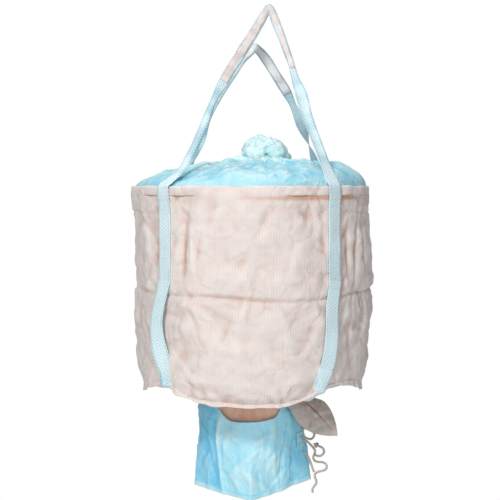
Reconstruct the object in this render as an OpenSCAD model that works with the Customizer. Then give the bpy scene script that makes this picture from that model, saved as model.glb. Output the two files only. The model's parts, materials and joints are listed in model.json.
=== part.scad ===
// Hanging bulk bag: a round woven body carried by two webbing loops, with a
// thin duffle skirt gathered into a knot on top and a discharge spout below.
// Millimetres. +Z is up, +X is to the right and -Y is the front. The modules
// draw in the bag's own frame, with the centre of the rim at zero, and
// placed() moves that to the origin, which is where a hook carries the front
// loop, so the whole bag hangs below the origin.

/* [Body] */
// Outside diameter of the woven body
body_d = 1100; // [900:10:1400]
// Height of the body, from the rim to the base
body_h = 940; // [700:10:1400]
// Thickness of the woven body fabric
fabric_t = 1.5; // [1:0.1:2.5]
// Depth of the hem that is turned in at the rim
hem_h = 45; // [25:5:80]
// Width of the seam allowance that stands out around the base
seam_w = 12; // [8:1:20]

/* [Duffle skirt] */
// Thickness of the thin skirt fabric
skirt_t = 1.5; // [1:0.1:2.5]
// Rise of the skirt's dome above the rim
skirt_rise = 105; // [70:5:140]
// Height of the gathered knot above the dome
bundle_h = 135; // [80:5:180]
// Diameter of the gathered knot at its widest
bundle_d = 220; // [160:5:260]
// Diameter of the skirt's neck where it is tied
neck_d = 130; // [100:5:150]
// Distance of the knot to the right of the bag's middle
bundle_x = 75; // [0:5:120]
// Thickness of the cord that ties the neck
neck_tie_t = 8; // [5:1:12]

/* [Webbing] */
// Width of the webbing where it lies flat on the body
web_w = 70; // [50:5:80]
// Thickness of the webbing
web_t = 2.5; // [2:0.1:4]
// Length of each loop's tail that is sewn down the body
tail_h = 420; // [250:10:600]

/* [Lifting loops] */
// Height of the front loop's crown above the rim
front_loop_h = 815; // [600:5:1000]
// Height of the rear loop's crown above the rim
rear_loop_h = 680; // [550:5:950]
// Distance of the front crown to the right of the bag's middle
front_crown_x = 85; // [-100:5:120]
// Distance of the rear crown to the right of the bag's middle
rear_crown_x = 20; // [-100:5:120]
// Outward bow of the slack rear loop's legs
rear_bow = 40; // [0:5:60]
// Distance of each crown from the bag's middle, front to rear
crown_y = 50; // [45:5:120]
// Radius of the hook that a crown lies on
hook_r = 25; // [15:1:35]
// Width of the webbing where it is folded inside its sleeve
folded_w = 42; // [30:1:60]
// Length of the sleeve down each leg from the crown
sleeve_l = 360; // [200:10:450]
// Thickness of the sleeve fabric
sleeve_t = 1.5; // [1:0.1:2.5]

/* [Discharge spout] */
// Inside diameter of the spout
spout_d = 500; // [440:10:600]
// Length of the spout fabric
spout_l = 360; // [250:10:600]
// Depth of the spout's hem
spout_hem_h = 25; // [15:5:50]
// Height of the collar of body fabric around the outlet
collar_h = 72; // [50:1:90]
// Distance between the collar's outside and the spout's inside
collar_gap = 18; // [15:1:30]
// Drop from the collar's lower edge to the top of the spout
spout_drop = 45; // [35:1:60]

/* [Closing flap] */
// Length of the flap from its sewn root to its tip
flap_l = 275; // [180:5:300]
// Width of the flap at its root
flap_w = 140; // [100:5:160]
// Height of the flap's dome
flap_dome = 30; // [10:1:40]

/* [Tie cords] */
// Diameter of the spout's tie cords
cord_d = 9; // [6:1:9]
// Size of the knot at the end of the short tie
knot_w = 22; // [16:1:30]

/* [Hidden] */
$fn = 180;
// Polar angles of the four belts, counter-clockwise from +X
front_right = -45;
rear_right = 45;
rear_left = 135;
front_left = 225;
body_r = body_d / 2;
hem_t = 2 * fabric_t;
skirt_r = body_r - fabric_t - hem_t;
skirt_lip = 30;
base_z = -body_h - fabric_t;
spout_r = spout_d / 2;
collar_r = spout_r - collar_gap;
collar_z = base_z - collar_h;
spout_top = collar_z - spout_drop;
spout_bottom = spout_top - spout_l;
// The dome is flat out to here, so that the knot seats on it
flat_r = bundle_x + neck_d / 2 + 15;
dome_steps = 24;
// Gaps: below each loop's foot, between a sleeve and its webbing, and beside the collar
foot_gap = 6;
sleeve_gap = 0.2;
belt_gap = 5;
seam_gap = 4;
// Rings of the swept webbing, along each span
leg_rings = 12;
sleeve_rings = 4;
crown_rings = 10;
fabric_color = [0.90, 0.87, 0.85];
web_color = [0.74, 0.88, 0.90];
blue_color = [0.50, 0.82, 0.92];
cord_color = [0.66, 0.62, 0.54];

module placed() translate([-front_crown_x, crown_y, -front_loop_h]) children();

module tube(r, wall, z0, z1) {
    translate([0, 0, z0]) difference() {
        cylinder(r = r, h = z1 - z0);
        translate([0, 0, -1]) cylinder(r = r - wall, h = z1 - z0 + 2);
    }
}

// Part of a ring of rectangular section, centred on the polar angle a
module arc_plate(a, spread, r0, r1, z0, z1) {
    rotate([0, 0, a - spread / 2]) rotate_extrude(angle = spread)
        translate([r0, z0]) square([r1 - r0, z1 - z0]);
}

/* Sweeping */
function unit(v) = v / norm(v);
function mix(a, b, f) = a + (b - a) * f;
function ease(f) = f * f * (3 - 2 * f);
function heading(p, i) = unit(p[min(i + 1, len(p) - 1)] - p[max(i - 1, 0)]);
function square_to(v, t) = unit(v - (v * t) * t);

// A closed solid through rings of n points each, given one after the other
module skin(points, n) {
    rings = len(points) / n;
    sides = [
        for (i = [0 : rings - 2], j = [0 : n - 1])
            let (a = i * n + j, b = i * n + (j + 1) % n)
            each [[a, a + n, b + n], [a, b + n, b]]
    ];
    ends = [[for (j = [0 : n - 1]) j], [for (j = [n - 1 : -1 : 0]) (rings - 1) * n + j]];
    polyhedron(points = points, faces = concat(sides, ends));
}

// A flat band. Each ring is [centre, direction across, width, thickness].
module band(rings) {
    centres = [for (r = rings) r[0]];
    skin([
        for (i = [0 : len(rings) - 1])
            let (
                t = heading(centres, i),
                across = square_to(rings[i][1], t),
                up = cross(t, across),
                w = rings[i][2] / 2,
                h = rings[i][3] / 2
            )
            each [for (c = [[-w, -h], [w, -h], [w, h], [-w, h]]) centres[i] + c[0] * across + c[1] * up]
    ], 4);
}

// A flat hollow sleeve of the given wall, gap clear of the band inside it
module hollow_band(rings, gap, wall) {
    centres = [for (r = rings) r[0]];
    last = len(rings) - 1;
    around = [[-1, -1], [1, -1], [1, 1], [-1, 1]];
    points = [
        for (i = [0 : last])
            let (
                t = heading(centres, i),
                across = square_to(rings[i][1], t),
                up = cross(t, across)
            )
            each [
                for (grow = [gap + wall, gap], c = around)
                    centres[i] + (grow + rings[i][2] / 2) * c[0] * across + (grow + rings[i][3] / 2) * c[1] * up
            ]
    ];
    sides = [
        for (i = [0 : last - 1], j = [0 : 3])
            let (a = 8 * i + j, b = 8 * i + (j + 1) % 4)
            each [
                [a, a + 8, b + 8], [a, b + 8, b],
                [a + 4, b + 12, a + 12], [a + 4, b + 4, b + 12]
            ]
    ];
    ends = [
        for (j = [0 : 3])
            let (k = (j + 1) % 4, e = 8 * last)
            each [[j, k, k + 4], [j, k + 4, j + 4], [e + k, e + j, e + j + 4], [e + k, e + j + 4, e + k + 4]]
    ];
    polyhedron(points = points, faces = concat(sides, ends));
}

// A round cord along a route that runs mostly up and down and from side to side
module cord(route, d) {
    sides = 8;
    skin([
        for (i = [0 : len(route) - 1])
            let (t = heading(route, i), u = square_to([0, 1, 0], t), v = cross(t, u))
            each [
                for (k = [0 : sides - 1])
                    route[i] + d / 2 * (u * cos(k * 360 / sides) + v * sin(k * 360 / sides))
            ]
    ], sides);
}

/* Body */
module body_tube() placed() color(fabric_color) tube(body_r, fabric_t, -body_h, 0);

module rim_hem() placed() color(fabric_color) tube(body_r - fabric_t, hem_t, -hem_h, 0);

module base_panel() placed() color(fabric_color) tube(body_r, body_r - collar_r + fabric_t, base_z, -body_h);

// The seam's allowance stops at each belt
module base_seam() placed() color(fabric_color) {
    belt_spread = (web_w + 2 * seam_gap) / body_r * 180 / PI;
    for (a = [0 : 90 : 270])
        arc_plate(a, 90 - belt_spread, body_r, body_r + seam_w, base_z, base_z + 2 * fabric_t);
}

/* Duffle skirt */
function dome_z(r) =
    let (f = max(0, r - flat_r) / (skirt_r - flat_r)) skirt_rise * pow(max(0, 1 - pow(f, 3)), 0.6);
function dome_r(i) = flat_r + (skirt_r - flat_r) * sin(90 * i / dome_steps);

module duffle_skirt() placed() color(blue_color) rotate_extrude() polygon(concat(
    [[0, skirt_rise]],
    [for (i = [0 : dome_steps]) [dome_r(i), dome_z(dome_r(i))]],
    [[skirt_r, -skirt_lip], [skirt_r - skirt_t, -skirt_lip]],
    [for (i = [dome_steps : -1 : 0])
        [dome_r(i) * (skirt_r - skirt_t) / skirt_r, dome_z(dome_r(i)) - skirt_t]],
    [[0, skirt_rise - skirt_t]]
));

// The gathered end of the skirt: a neck inside its tie and a crumpled ball above
module skirt_bundle() placed() color(blue_color) translate([bundle_x, 0, skirt_rise]) rotate_extrude() {
    ball_r = bundle_d / 2;
    ball_h = bundle_h - neck_tie_t;
    square([neck_d / 2, neck_tie_t + 1]);
    translate([0, neck_tie_t]) intersection() {
        translate([0, ball_h * 0.4]) scale_outline(ball_r, ball_h * 0.6);
        square([ball_r, ball_h]);
    }
}

// Half an ellipse about the vertical axis
module scale_outline(rx, ry) {
    polygon(concat([[0, -ry]], [for (a = [-87 : 3 : 87]) [rx * cos(a), ry * sin(a)]], [[0, ry]]));
}

module neck_tie() placed() color(cord_color) translate([bundle_x, 0, skirt_rise])
    tube(neck_d / 2 + neck_tie_t, neck_tie_t, 0, neck_tie_t);

/* Webbing on the body */
belt_turn = web_w / body_r * 180 / PI;

module loop_tail(a) placed() color(web_color) arc_plate(a, belt_turn, body_r, body_r + web_t, -tail_h, 0);

// Down the body from the tail and under the base towards the collar
module belly_belt(a) placed() color(web_color) {
    arc_plate(a, belt_turn, body_r, body_r + web_t, base_z - web_t, -tail_h);
    rotate([0, 0, a]) translate([collar_r + belt_gap, -web_w / 2, base_z - web_t])
        cube([body_r - collar_r - belt_gap + web_t / 2, web_w, web_t]);
}

module loop_tail_front_left() loop_tail(front_left);
module loop_tail_front_right() loop_tail(front_right);
module loop_tail_rear_left() loop_tail(rear_left);
module loop_tail_rear_right() loop_tail(rear_right);
module belly_belt_front_left() belly_belt(front_left);
module belly_belt_front_right() belly_belt(front_right);
module belly_belt_rear_left() belly_belt(rear_left);
module belly_belt_rear_right() belly_belt(rear_right);

/* Lifting loops. The rear loop is worked out as a front one and mirrored. */
foot_r = body_r + web_t / 2;
function foot(side) = [side * foot_r * cos(front_right), foot_r * sin(front_right), foot_gap];
// Direction across the webbing where it leaves the body, on the side -1 or 1
function foot_across(side) = [-side * sin(-front_right), -cos(front_right), 0];

function loop_rings(crown, bow) =
    let (
        up = unit([0, crown[1] - foot(1)[1], crown[2] - foot_gap]),
        across = [0, -up[2], up[1]],
        r = hook_r + web_t,
        centre = crown - hook_r * up,
        // Where each leg meets the bend over the hook, as an angle from straight up
        lean = [for (side = [-1, 1])
            let (to = centre - foot(side), along = to[0] * -side, rise = to * up, far = norm([along, rise]))
            90 - atan2(rise, along) - asin(r / far)],
        touch = [for (k = [0, 1]) let (turn = 90 - lean[k], side = 2 * k - 1)
            centre + r * (side * sin(turn) * [1, 0, 0] + cos(turn) * up)],
        leg_len = [for (k = [0, 1]) norm(touch[k] - foot(2 * k - 1))],
        cover = [for (k = [0, 1]) mix(touch[k], foot(2 * k - 1), sleeve_l / leg_len[k])]
    )
    concat(
        bowed(concat(leg(foot(-1), cover[0], foot_across(-1), across), span(cover[0], touch[0], across)), -bow),
        [for (i = [1 : crown_rings - 1])
            let (turn = mix(-(90 - lean[0]), 90 - lean[1], i / crown_rings))
            [centre + r * (sin(turn) * [1, 0, 0] + cos(turn) * up), across, folded_w, 2 * web_t]],
        reversed(bowed(concat(leg(foot(1), cover[1], foot_across(1), across), span(cover[1], touch[1], across)), bow))
    );

function reversed(list) = [for (i = [len(list) - 1 : -1 : 0]) list[i]];
// Rings along a straight leg, pushed sideways most of all at the middle
function bowed(rings, push) =
    let (from = rings[0][0], whole = norm(rings[len(rings) - 1][0] - from))
    [for (r = rings) [r[0] + push * sin(180 * norm(r[0] - from) / whole) * [1, 0, 0], r[1], r[2], r[3]]];
// The bare leg twists and folds on its way from the body to the sleeve
function leg(from, to, across_0, across_1) = [
    for (i = [0 : leg_rings - 1])
        let (f = i / leg_rings)
        [mix(from, to, f), mix(across_0, across_1, ease(f)), mix(web_w, folded_w, ease(f)),
            mix(web_t, 2 * web_t, ease(f))]
];
function span(from, to, across) = [
    for (i = [0 : sleeve_rings]) [mix(from, to, i / sleeve_rings), across, folded_w, 2 * web_t]
];

module loop_web(crown, bow) color(web_color) band(loop_rings(crown, bow));

module loop_sleeve(crown, bow) color(fabric_color) {
    rings = loop_rings(crown, bow);
    hollow_band([for (i = [leg_rings : len(rings) - 1 - leg_rings]) rings[i]], sleeve_gap, sleeve_t);
}

front_crown = [front_crown_x, -crown_y, front_loop_h];
rear_crown = [rear_crown_x, -crown_y, rear_loop_h];

module front_loop_web() placed() loop_web(front_crown, 0);
module front_loop_sleeve() placed() loop_sleeve(front_crown, 0);
module rear_loop_web() placed() mirror([0, 1, 0]) loop_web(rear_crown, rear_bow);
module rear_loop_sleeve() placed() mirror([0, 1, 0]) loop_sleeve(rear_crown, rear_bow);

/* Discharge spout */
module spout_collar() placed() color(fabric_color) tube(collar_r, fabric_t, collar_z, base_z);

module discharge_spout() placed() color(blue_color) tube(spout_r + skirt_t, skirt_t, spout_bottom, spout_top);

module spout_hem() placed() color(blue_color)
    tube(spout_r + 2 * skirt_t, skirt_t, spout_bottom, spout_bottom + spout_hem_h);

// The tab that holds the tie cords, sewn on the spout's right side
tab_angle = -20;
tab_spread = 14;
tab_h = 70;
tab_z = spout_top - 131;
module tie_tab() placed() color(cord_color)
    arc_plate(tab_angle, tab_spread, spout_r + skirt_t, spout_r + 2 * skirt_t, tab_z - tab_h / 2, tab_z + tab_h / 2);

/* Closing flap: a domed leaf sewn beside the collar on the front right */
flap_root = [collar_r * 0.83, -collar_r * 0.64, base_z - 28];
flap_root_dir = unit([90, 114, 16]);
flap_dir = unit([208, -64, -174]);
// Across the flap beyond its root, where it has turned to face the front
flap_across = unit([0.66, 0.22, 0.72]);
flap_cols = 12;
flap_rows = 14;
// Half of the flap's width at the fraction f of its length
function flap_half(f) = flap_w / 2 * (1 - 0.35 * f) * sqrt(max(0.0016, 1 - pow(f, 3)));

function flap_point(f, s, lift) =
    let (
        side = unit(mix(flap_root_dir, flap_across, ease(min(1, 1.5 * f)))),
        up = unit(cross(flap_dir, side))
    )
    flap_root + f * flap_l * flap_dir + s * flap_half(f) * side
        + (lift + flap_dome * (1 - s * s) * sin(180 * min(1, f * 1.05))) * up;

module closing_flap() placed() color(fabric_color) skin([
    for (i = [0 : flap_rows])
        let (f = i / flap_rows)
        each concat(
            [for (j = [0 : flap_cols]) flap_point(f, 2 * j / flap_cols - 1, 0)],
            [for (j = [flap_cols : -1 : 0]) flap_point(f, 2 * j / flap_cols - 1, fabric_t)]
        )
], 2 * (flap_cols + 1));

/* Tie cords. Each route's points are chosen by hand and hang from the tab's
   place on the spout. */
long_route = [
    [8, -2, 0], [19, -6, -2], [33, -10, -10], [47, -13, -24], [60, -15, -38], [68, -15, -52],
    [65, -13, -68], [60, -11, -84], [66, -10, -100], [83, -11, -106], [101, -13, -107], [117, -15, -114],
    [124, -16, -128], [116, -16, -142], [97, -15, -149], [78, -14, -155], [67, -13, -166],
    [69, -12, -182], [75, -11, -198], [73, -10, -212], [64, -9, -224], [57, -9, -238], [58, -9, -254],
];
short_route = [
    [68, -25, -68], [83, -26, -74], [99, -26, -70], [109, -26, -56], [106, -26, -40], [93, -26, -30],
    [83, -26, -26],
];
loop_route = [
    [5, 0, 52], [19, -4, 53], [37, -8, 50], [54, -10, 42], [64, -10, 29], [61, -10, 14], [49, -9, 3],
    [33, -12, 6], [19, -19, 14], [5, -15, 16],
];
tail_route = [
    [9, 2, -60], [21, 2, -66], [33, 1, -80], [42, 0, -98], [50, -1, -118], [57, -2, -138],
    [64, -3, -156],
];

tab_at = [spout_r * cos(tab_angle), spout_r * sin(tab_angle), tab_z];
module tie_cord(route) placed() color(cord_color) translate(tab_at) cord(route, cord_d);
module spout_tie_long() tie_cord(long_route);
module spout_tie_short() tie_cord(short_route);
module spout_tie_loop() tie_cord(loop_route);
module spout_tie_tail() tie_cord(tail_route);

module tie_knot() placed() color(cord_color)
    translate(tab_at + short_route[len(short_route) - 1] + knot_w * [-0.5, 0, 0.25]) sphere(d = knot_w, $fn = 32);

body_tube();
rim_hem();
base_panel();
base_seam();
duffle_skirt();
skirt_bundle();
neck_tie();
loop_tail_front_left();
loop_tail_front_right();
loop_tail_rear_left();
loop_tail_rear_right();
belly_belt_front_left();
belly_belt_front_right();
belly_belt_rear_left();
belly_belt_rear_right();
front_loop_web();
front_loop_sleeve();
rear_loop_web();
rear_loop_sleeve();
spout_collar();
discharge_spout();
spout_hem();
tie_tab();
closing_flap();
spout_tie_long();
spout_tie_short();
spout_tie_loop();
spout_tie_tail();
tie_knot();
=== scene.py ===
"""The looks of a hanging bulk bag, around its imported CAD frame.

Everything is worked out in the bag's own frame (metres, rim centre at zero, -Y the front, +Z up), and place() moves it
to the row frame. An azimuth is from the front, positive to the bag's right. What is divided by MM is in millimetres.
"""
import bpy
import json
import math
import numpy as np
from numpy import array, clip, concatenate, cos, cross, degrees, exp, interp, linspace, pi, radians, sin, stack
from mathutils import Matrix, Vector


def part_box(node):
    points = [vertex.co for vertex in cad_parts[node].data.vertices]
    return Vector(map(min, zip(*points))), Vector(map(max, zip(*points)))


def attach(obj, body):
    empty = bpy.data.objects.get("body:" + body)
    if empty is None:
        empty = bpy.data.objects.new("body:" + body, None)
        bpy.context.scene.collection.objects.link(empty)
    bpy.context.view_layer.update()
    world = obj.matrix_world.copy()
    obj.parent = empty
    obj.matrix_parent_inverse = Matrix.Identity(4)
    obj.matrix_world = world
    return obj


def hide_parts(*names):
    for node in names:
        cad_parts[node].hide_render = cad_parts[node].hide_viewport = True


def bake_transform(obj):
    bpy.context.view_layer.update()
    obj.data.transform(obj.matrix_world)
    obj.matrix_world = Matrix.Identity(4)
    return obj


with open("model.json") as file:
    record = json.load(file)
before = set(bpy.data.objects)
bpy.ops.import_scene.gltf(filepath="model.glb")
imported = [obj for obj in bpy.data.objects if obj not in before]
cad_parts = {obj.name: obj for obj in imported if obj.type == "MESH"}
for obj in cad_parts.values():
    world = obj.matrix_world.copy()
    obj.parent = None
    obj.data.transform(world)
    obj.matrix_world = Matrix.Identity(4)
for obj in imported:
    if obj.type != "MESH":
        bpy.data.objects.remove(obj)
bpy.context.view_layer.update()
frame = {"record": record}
scene = bpy.context.scene
MM = 1000
WHITE = (1.0, 1.0, 1.0)


# ---- places, from the frame
def cad(node):
    """The low and high corners of a CAD node's box, in the row frame."""
    return [array(corner, float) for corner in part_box(node)]


def half_width(node):
    low, high = cad(node)
    return (high[0] - low[0]) / 2


wall_low, wall_high = cad("body_tube")
RADIUS = half_width("body_tube")
HEIGHT = wall_high[2] - wall_low[2]
ORIGIN = array([(wall_high[0] + wall_low[0]) / 2, (wall_high[1] + wall_low[1]) / 2, wall_high[2]])
SPOUT_R = half_width("discharge_spout")
SPOUT_BOTTOM, SPOUT_TOP = (corner[2] - ORIGIN[2] for corner in cad("discharge_spout"))
COLLAR_R = half_width("spout_collar")
KNOT_X = sum(corner[0] - ORIGIN[0] for corner in cad("skirt_bundle")) / 2
TAB_Z = sum(corner[2] for corner in cad("tie_tab")) / 2 - ORIGIN[2]
FRONT_CROWN = -ORIGIN
REAR_CROWN = array(next(m["pos_m"] for m in frame["record"]["mounts"] if m["name"] == "rear_loop_saddle")) - ORIGIN


def place(points):
    """Bag frame to row frame."""
    return np.asarray(points, float) + ORIGIN


# ---- camera and light
CAMERA_AT = (-0.004, -4.7, 0.0)
CAMERA_PITCH = 3.64
LENS, SENSOR = 71.3, 36


def add(name, data):
    """A new object in the scene."""
    made = bpy.data.objects.new(name, data)
    scene.collection.objects.link(made)
    return made


camera_data = bpy.data.cameras.new("camera")
camera_data.lens, camera_data.sensor_width = LENS, SENSOR
camera = add("camera", camera_data)
camera.location = place(CAMERA_AT)
camera.rotation_euler = (math.radians(90 - CAMERA_PITCH), 0, 0)
scene.camera = camera


def area_light(name, at, aim, size, power, color=WHITE):
    data = bpy.data.lights.new(name, "AREA")
    data.shape, data.size, data.energy, data.color = "DISK", size, power, color
    light = add(name, data)
    light.location = place(at)
    light.rotation_euler = Vector(np.subtract(aim, at)).to_track_quat("-Z", "Y").to_euler()


area_light("key", (-1.5, -4.5, 2.5), (0, 0, -0.5), 0.8, 165, (1.0, 0.985, 0.96))
area_light("fill", (1.8, -4.8, -0.2), (0, 0, -0.6), 1.6, 36)
area_light("top", (-0.4, 0.2, 3.0), (0, 0, 0), 1.4, 34)
area_light("low", (-0.6, -3.4, -2.0), (0, 0, -1.2), 1.4, 12)


def setup_world():
    """Soft blue-white light on the bag, and plain white behind it."""
    scene.world = bpy.data.worlds.new("studio")
    scene.world.use_nodes = True
    nodes, links = scene.world.node_tree.nodes, scene.world.node_tree.links
    nodes.clear()
    out = nodes.new("ShaderNodeOutputWorld")
    mix = nodes.new("ShaderNodeMixShader")
    path = nodes.new("ShaderNodeLightPath")
    links.new(path.outputs["Is Camera Ray"], mix.inputs[0])
    for entry, color, strength in ((1, (0.93, 0.96, 1.0, 1), 0.36), (2, (*WHITE, 1), 1.0)):
        glow = nodes.new("ShaderNodeBackground")
        glow.inputs[0].default_value, glow.inputs[1].default_value = color, strength
        links.new(glow.outputs[0], mix.inputs[entry])
    links.new(mix.outputs[0], out.inputs[0])


setup_world()
scene.view_settings.view_transform = "Standard"


# ---- materials
class Material:
    """One node tree with a Principled shader."""

    def __init__(self, name, roughness, specular, sheen=0.0):
        self.data = bpy.data.materials.new(name)
        self.data.use_nodes = True
        self.tree = self.data.node_tree
        self.shader = self.tree.nodes["Principled BSDF"]
        self.put(self.shader, {"Roughness": roughness, "Specular IOR Level": specular, "Sheen Weight": sheen})

    def put(self, node, inputs):
        """Links or sets the node's inputs."""
        for name, value in inputs.items():
            if isinstance(value, bpy.types.NodeSocket):
                self.tree.links.new(value, node.inputs[name])
            else:
                node.inputs[name].default_value = value

    def node(self, kind, output, inputs, **settings):
        """One output of a new node with these settings and inputs."""
        made = self.tree.nodes.new("ShaderNode" + kind)
        for name, value in settings.items():
            setattr(made, name, value)
        self.put(made, inputs)
        return made.outputs[output]

    def math(self, operation, a, b=0.0, c=0.5, clamp=False):
        return self.node("Math", 0, {0: a, 1: b, 2: c}, operation=operation, use_clamp=clamp)

    def times(self, a, b, clamp=False):
        return self.math("MULTIPLY", a, b, clamp=clamp)

    def plus(self, a, b):
        return self.math("ADD", a, b)

    def mix(self, factor, a, b, blend="MIX"):
        return self.node("Mix", 2, {0: factor, 6: a, 7: b}, data_type="RGBA", blend_type=blend)

    def ramp(self, factor, *stops):
        made = self.node("ValToRGB", 0, {0: factor})
        elements = made.node.color_ramp.elements
        while len(elements) < len(stops):
            elements.new(0.5)
        for element, (at, color) in zip(elements, stops):
            element.position, element.color = at, (*color, 1)
        return made

    def tinted(self, color, factor, *stops):
        """The color multiplied by a ramp."""
        return self.mix(1.0, color, self.ramp(factor, *stops), "MULTIPLY")

    def relief(self):
        """The mesh's own relief: 0 down in a crease and 1 on a crest."""
        return self.node("Attribute", "Fac", {}, attribute_name="relief")

    def uv(self):
        u = self.node("SeparateXYZ", 0, {0: self.node("UVMap", 0, {}, uv_map="UVMap")})
        return u, u.node.outputs[1]

    def wave(self, along, pitch):
        """0 to 1, once every pitch metres."""
        return self.math("MULTIPLY_ADD", self.math("SINE", self.times(along, 2 * pi / pitch)), 0.5)

    def weave(self, u, v, pitch):
        return self.plus(self.wave(u, pitch), self.wave(v, pitch))

    def noise(self, scale, detail=3.0, roughness=0.55):
        where = self.node("TexCoord", "Object", {})
        return self.node("TexNoise", "Fac", {"Vector": where, "Scale": scale, "Detail": detail, "Roughness": roughness})

    def creases(self, scale, width):
        """1 along sharp, nearly straight lines and 0 between them, missing altogether in places."""
        where = self.node("TexCoord", "Object", {})
        push = self.node("TexNoise", "Color", {"Vector": where, "Scale": scale * 0.9})
        bent = self.node("VectorMath", 0, {0: push, 1: (0.45 / scale,) * 3, 2: where}, operation="MULTIPLY_ADD")
        gap = self.node("TexVoronoi", "Distance", {"Vector": bent, "Scale": scale}, feature="DISTANCE_TO_EDGE")
        line = self.math("SUBTRACT", 1.0, self.math("DIVIDE", gap, width), clamp=True)
        present = self.math("SUBTRACT", self.noise(scale * 0.8, 1.0), 0.42)
        return self.times(line, self.times(present, 6.0, clamp=True))

    def bump(self, height, distance, strength, after=None):
        inputs = {"Strength": strength, "Distance": distance, "Height": height}
        if after is not None:
            inputs["Normal"] = after
        return self.node("Bump", 0, inputs)

    def finish(self, color, normal):
        self.put(self.shader, {"Base Color": color, "Normal": normal})
        return self.data


def woven_material(name, low, middle, high, rib=0.0125, rib_depth=0.00045):
    """Coated flat-yarn cloth: upright ribs, a fine cross weave, and painted shade, warmer and darker, down in its
    creases, with painted light on its crests.
    """
    m = Material(name, 0.72, 0.25, 0.15)
    u, v = m.uv()
    ribs = m.wave(u, rib)
    # Painted light and shade: the mesh's relief picks the warm low colour in creases and the pale high colour on
    # crests.
    color = m.ramp(m.relief(), (0.0, low), (0.42, middle), (1.0, high))
    color = m.mix(1.0, color, m.math("MULTIPLY_ADD", ribs, 0.06, 0.95), "MULTIPLY")
    color = m.tinted(color, m.noise(9.0), (0.3, (0.93, 0.92, 0.93)), (0.7, WHITE))
    sunk = m.plus(m.creases(4.5, 0.1), m.times(m.creases(10.0, 0.13), 0.42))
    sunk = m.plus(sunk, m.times(m.creases(21.0, 0.16), 0.16))
    # Painted shade: the shader's own creases pull the colour towards the warm low colour.
    color = m.mix(m.times(sunk, 0.17, clamp=True), color, (*low, 1))
    normal = m.bump(m.times(sunk, -1.0), 0.008, 0.7)
    normal = m.bump(ribs, rib_depth, 0.8, normal)
    normal = m.bump(m.weave(u, v, 0.0031), 0.00012, 0.6, normal)
    normal = m.bump(m.noise(38.0, 4.0), 0.002, 0.35, normal)
    return m.finish(color, normal)


def film_material(name, low, middle, high, lumps=1.0):
    """Thin slippery blue cloth: painted highlights, paler, where it stands up, and painted shade, a deeper blue, in its
    hollows.
    """
    m = Material(name, 0.5, 0.4, 0.1)
    u, v = m.uv()
    color = m.ramp(m.relief(), (0.0, low), (0.45, middle), (1.0, high))
    color = m.tinted(color, m.noise(14.0, 4.0), (0.32, (0.86, 0.95, 1.0)), (0.68, WHITE))
    # Painted highlights: broad pale patches where the relief stands high.
    broad_painted_highlight = m.ramp(m.noise(5.0, 2.0), (0.4, (0, 0, 0)), (0.62, WHITE))
    color = m.mix(m.times(m.times(broad_painted_highlight, m.relief()), 0.62), color, (0.8, 0.93, 0.88, 1))
    weave = m.weave(u, v, 0.0042)
    color = m.mix(m.times(weave, 0.04), color, (0.9, 1.0, 1.0, 1))
    # Painted highlights: pale along the shader's raised creases, which also bump the surface.
    raised = m.plus(m.creases(11.0, 0.12), m.times(m.creases(24.0, 0.14), 0.6))
    color = m.mix(m.times(raised, 0.3 * lumps, clamp=True), color, (0.85, 0.96, 0.96, 1))
    normal = m.bump(raised, 0.005, 0.6 * lumps)
    normal = m.bump(m.noise(60.0, 5.0, 0.65), 0.004, 0.5, normal)
    return m.finish(color, m.bump(weave, 0.0001, 0.5, normal))


def webbing_material(name, low, high):
    """Flat webbing with a herringbone twill."""
    m = Material(name, 0.65, 0.3, 0.2)
    u, v = m.uv()
    zigzag = m.math("PINGPONG", u, 0.0115)
    twill = m.wave(m.plus(v, m.times(zigzag, 1.4)), 0.015)
    height = m.plus(twill, m.times(m.wave(u, 0.0046), 0.6))
    color = m.ramp(m.relief(), (0.0, low), (0.5, high), (1.0, (0.86, 0.98, 1.0)))
    color = m.tinted(color, m.times(height, 0.62), (0.25, (0.64, 0.77, 0.83)), (0.75, WHITE))
    color = m.tinted(color, m.noise(22.0), (0.3, (0.94, 0.97, 0.98)), (0.7, WHITE))
    return m.finish(color, m.bump(height, 0.0009, 1.0))


def cord_material(name, low, high):
    """Soft twisted cord, with painted shade down between its strands."""
    m = Material(name, 0.9, 0.2, 0.3)
    color = m.ramp(m.relief(), (0.0, low), (0.7, high), (1.0, high))
    color = m.tinted(color, m.noise(60.0), (0.3, (0.75, 0.72, 0.68)), (0.7, WHITE))
    return m.finish(color, m.bump(m.noise(400.0, 3.0), 0.0008, 0.6))


def floor_material():
    m = Material("pale_floor", 0.9, 0.1)
    color = m.ramp(m.noise(0.7), (0.3, (0.93,) * 3), (0.7, (0.96,) * 3))
    return m.finish(color, m.bump(m.noise(30.0), 0.001, 0.1))


# Each woven colour set runs from painted crease shade (low) through the cloth's own colour to painted light on crests
# (high).
WOVEN = woven_material("woven_body", (0.6, 0.3, 0.19), (0.775, 0.695, 0.655), (0.87, 0.81, 0.78))
# Painted shade: the collar and the flap are the body's cloth, with darker and warmer colours because they hang in shade
# under the base.
COLLAR = woven_material("woven_collar_in_painted_shade", (0.5, 0.2, 0.1), (0.72, 0.42, 0.3), (0.86, 0.62, 0.5), rib_depth=0.0002)
FLAP = woven_material("woven_flap_in_painted_shade", (0.46, 0.18, 0.11), (0.5, 0.45, 0.415), (0.7, 0.64, 0.6), rib=0.01)
SLEEVE = woven_material("woven_sleeve", (0.5, 0.34, 0.28), (0.78, 0.7, 0.67), (0.98, 0.94, 0.93), rib=0.008)
SKIRT = film_material("blue_skirt", (0.03, 0.42, 0.74), (0.2, 0.6, 0.74), (0.7, 0.83, 0.79))
BUNDLE = film_material("blue_bundle", (0.12, 0.52, 0.66), (0.58, 0.81, 0.82), (0.82, 0.92, 0.89))
SPOUT = film_material("blue_spout", (0.05, 0.58, 0.97), (0.29, 0.75, 0.92), (0.74, 0.92, 0.92), lumps=0.45)
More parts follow.
